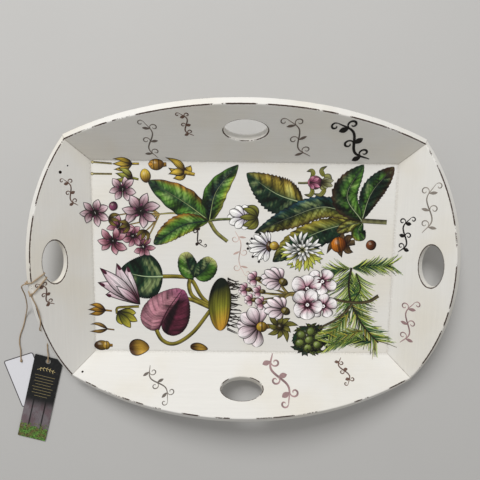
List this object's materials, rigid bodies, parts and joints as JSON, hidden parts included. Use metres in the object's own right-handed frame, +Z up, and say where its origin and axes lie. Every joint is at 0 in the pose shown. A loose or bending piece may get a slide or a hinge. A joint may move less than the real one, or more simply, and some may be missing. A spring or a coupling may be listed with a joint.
{
  "type": "wooden serving tray",
  "caption": "Painted wooden serving tray with flared mitred sides, arched rims, an oval hand hole in every side, a botanical print on the base and two hang tags on twine.",
  "frame": {"origin": "centre of the tray's underside, on the table", "axes": "+X along the long way, +Y towards the back board, +Z up out of the tray"},
  "size_m": [0.7165, 0.5598, 0.0822],
  "materials": {
    "panel_paint": "satin white chalk paint over wood, with a varnished plant print",
    "board_paint": "brushed white chalk paint over wood, worn to dark wood along the edges",
    "brad_steel": "plain steel brads",
    "twine": "twisted jute twine",
    "white_card": "uncoated white card",
    "black_card": "coated black card with a plain plank and moss picture",
    "eyelet_metal": "pressed metal ring"
  },
  "bodies": {
    "tray": {"base_panel": "panel_paint", "side_board_back": "board_paint", "side_board_front": "board_paint", "side_board_left": "board_paint", "side_board_right": "board_paint", "corner_brads": "brad_steel", "panel_brads": "brad_steel", "white_tag_twine_loop": "twine", "black_tag_twine_loop": "twine", "white_tag_rim_knot": "twine", "black_tag_rim_knot": "twine", "white_tag_twine": "twine", "black_tag_twine": "twine", "white_tag_end_knot": "twine", "black_tag_end_knot": "twine"},
    "white_tag": {"white_tag": "white_card"},
    "black_tag": {"black_tag": "black_card", "black_tag_eyelet": "eyelet_metal"}
  },
  "joints": [
    {"name": "white_tag_turn", "type": "hinge", "parent": "tray", "child": "white_tag", "pos_m": [-0.3663, -0.1769, 0], "axis": [0, 0, 1], "range_deg": [-35, 35]},
    {"name": "black_tag_turn", "type": "hinge", "parent": "tray", "child": "black_tag", "pos_m": [-0.3215, -0.177, 0], "axis": [0, 0, 1], "range_deg": [-35, 35]}
  ]
}
